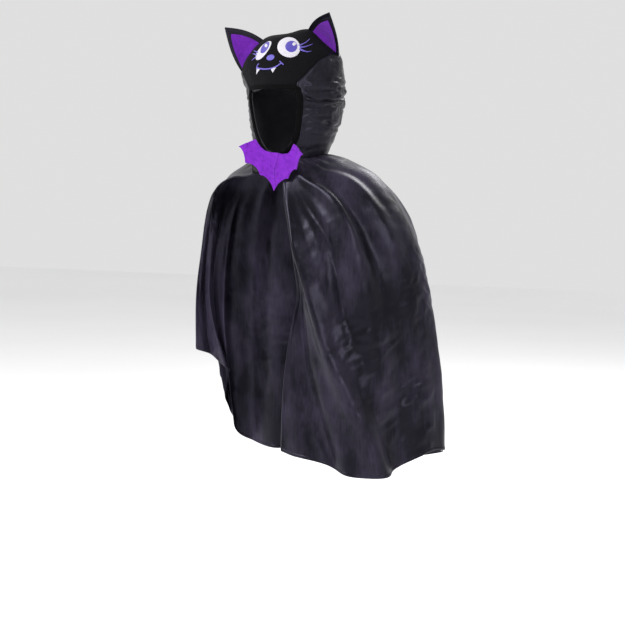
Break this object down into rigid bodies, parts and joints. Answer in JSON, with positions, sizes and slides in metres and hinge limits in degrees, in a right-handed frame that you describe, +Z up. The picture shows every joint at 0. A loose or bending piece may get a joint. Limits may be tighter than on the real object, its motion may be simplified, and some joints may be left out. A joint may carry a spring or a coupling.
{
  "type": "bat costume cape",
  "caption": "Child's black dress-up cape with an attached eared hood, an embroidered bat face and a purple bat-shaped felt collar.",
  "frame": {"origin": "centre of the neckline, where the hood is sewn to the cape, as worn", "axes": "the wearer faces -Y, +X is the wearer's left, +Z is up out of the neckline towards the hood"},
  "size_m": [0.5436, 0.2957, 0.8737],
  "materials": {
    "black_satin": "dull satin with a grey-violet sheen",
    "black_jersey": "matt brushed jersey",
    "lining": "plain woven lining",
    "black_tape": "plain cotton tape",
    "ribbed_binding": "matt ribbed knit",
    "touch_fastener": "hook and loop pile",
    "label_tape": "woven label tape, blank",
    "purple_felt": "brushed felt",
    "white_thread": "satin-stitch embroidery",
    "violet_iris": "satin-stitch embroidery",
    "violet_thread": "satin-stitch embroidery",
    "wadding": "polyester wadding"
  },
  "bodies": {
    "cape": {"cape_back": "black_satin", "neck_band": "black_tape", "closure_tab": "black_tape", "collar_stay": "black_tape", "loop_patch": "touch_fastener", "care_label": "label_tape", "collar_left_half": "purple_felt"},
    "hood": {"hood_face_panel": "black_jersey", "hood_left_side": "black_satin", "hood_right_side": "black_satin", "hood_lining": "lining", "face_binding": "ribbed_binding", "left_eye_white": "white_thread", "left_eye_iris": "violet_iris", "left_eye_glint": "white_thread", "left_eye_lashes": "violet_thread", "left_fang": "white_thread", "right_eye_white": "white_thread", "right_eye_iris": "violet_iris", "right_eye_glint": "white_thread", "right_eye_lashes": "violet_thread", "right_fang": "white_thread", "nose": "violet_thread", "mouth": "violet_thread"},
    "left_ear": {"left_ear_back": "black_satin", "left_ear_wadding": "wadding", "left_ear_front": "black_satin", "left_ear_felt": "purple_felt"},
    "right_ear": {"right_ear_back": "black_satin", "right_ear_wadding": "wadding", "right_ear_front": "black_satin", "right_ear_felt": "purple_felt"},
    "collar_flap": {"collar_flap": "purple_felt", "hook_patch": "touch_fastener"},
    "left_side": {"cape_left_side": "black_satin"},
    "right_side": {"cape_right_side": "black_satin"}
  },
  "joints": [
    {"name": "hood_turn", "type": "hinge", "parent": "cape", "child": "hood", "pos_m": [0, 0, 0], "axis": [0, 0, 1], "range_deg": [-18, 18]},
    {"name": "collar_open", "type": "hinge", "parent": "cape", "child": "collar_flap", "pos_m": [0, -0.082, 0], "axis": [0.1045, 0, 0.9945], "range_deg": [0, 100]},
    {"name": "left_ear_bend", "type": "hinge", "parent": "hood", "child": "left_ear", "pos_m": [0.067, 0.0105, 0.217], "axis": [0.7267, 0.3903, -0.5652], "range_deg": [-20, 30], "stiffness_Nm_per_rad": 0.15},
    {"name": "right_ear_bend", "type": "hinge", "parent": "hood", "child": "right_ear", "pos_m": [-0.082, -0.0145, 0.201], "axis": [-0.6043, -0.0137, -0.7966], "range_deg": [-20, 30], "stiffness_Nm_per_rad": 0.15},
    {"name": "left_side_lift", "type": "hinge", "parent": "cape", "child": "left_side", "pos_m": [0.0952, 0, -0.008], "axis": [0, -1, 0], "range_deg": [0, 22]},
    {"name": "right_side_lift", "type": "hinge", "parent": "cape", "child": "right_side", "pos_m": [-0.0952, 0, -0.008], "axis": [0, 1, 0], "range_deg": [0, 22]}
  ]
}
